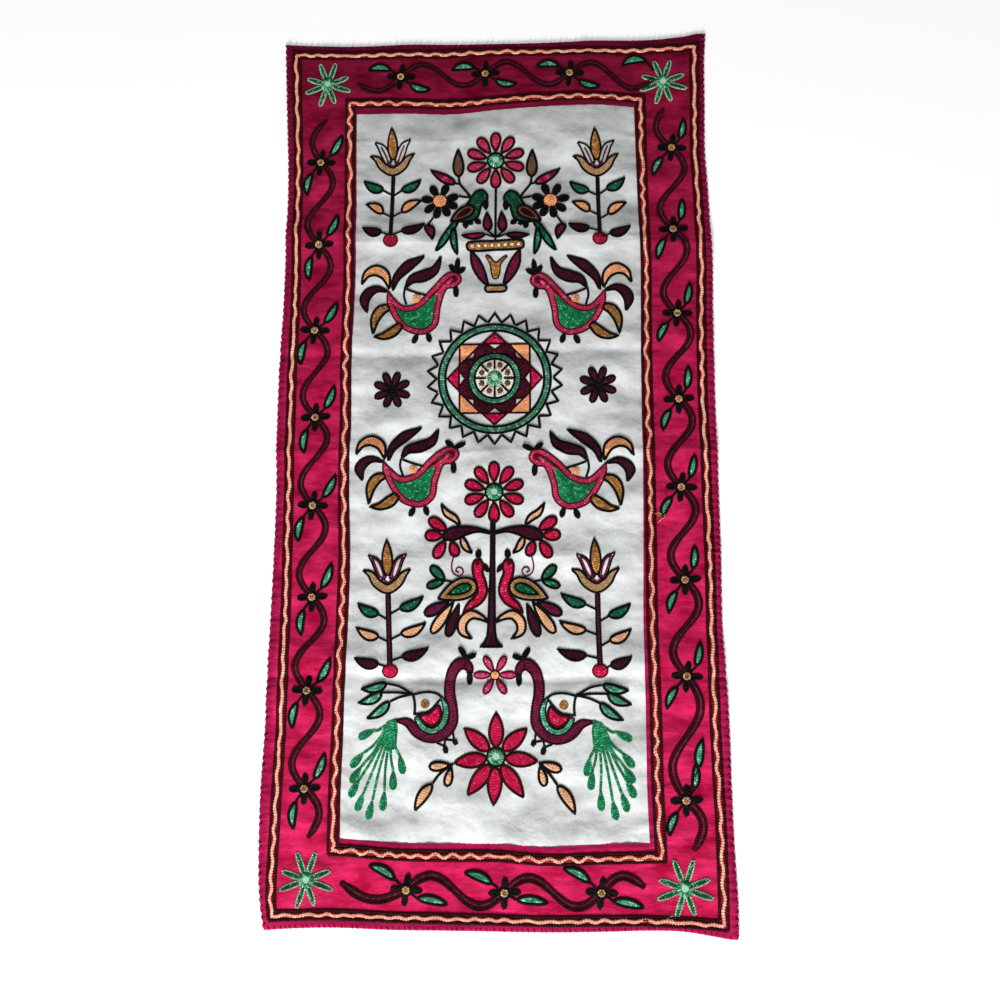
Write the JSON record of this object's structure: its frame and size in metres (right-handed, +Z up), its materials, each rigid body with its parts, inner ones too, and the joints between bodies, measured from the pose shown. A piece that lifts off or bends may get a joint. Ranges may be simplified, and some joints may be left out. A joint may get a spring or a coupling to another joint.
{
  "type": "embroidered table runner",
  "caption": "Rectangular cotton table runner with a cream panel, crimson borders, chain-stitched folk motifs and small round mirrors, lying flat.",
  "frame": {"origin": "on the surface that the cloth lies on, under the middle of its outline", "axes": "+X across the cloth to its right, +Y along it to the end with the flower pot, +Z up"},
  "size_m": [0.46, 0.9277, 0.0065],
  "materials": {
    "panel_cotton": "plain weave cotton, cream white, matte",
    "border_cotton": "plain weave cotton, crimson, matte",
    "mirror": "small silvered glass discs, slightly green",
    "thread": "glossy embroidery thread in black and several colours"
  },
  "bodies": {
    "root": {"centre_panel": "panel_cotton", "border_left": "border_cotton", "border_right": "border_cotton", "border_top": "border_cotton", "border_bottom": "border_cotton", "mirror_star_top_left": "mirror", "mirror_star_top_right": "mirror", "mirror_star_bottom_left": "mirror", "mirror_star_bottom_right": "mirror", "mirror_top_daisy": "mirror", "mirror_wheel": "mirror", "mirror_middle_daisy": "mirror", "mirror_bottom_flower": "mirror"}
  },
  "joints": []
}
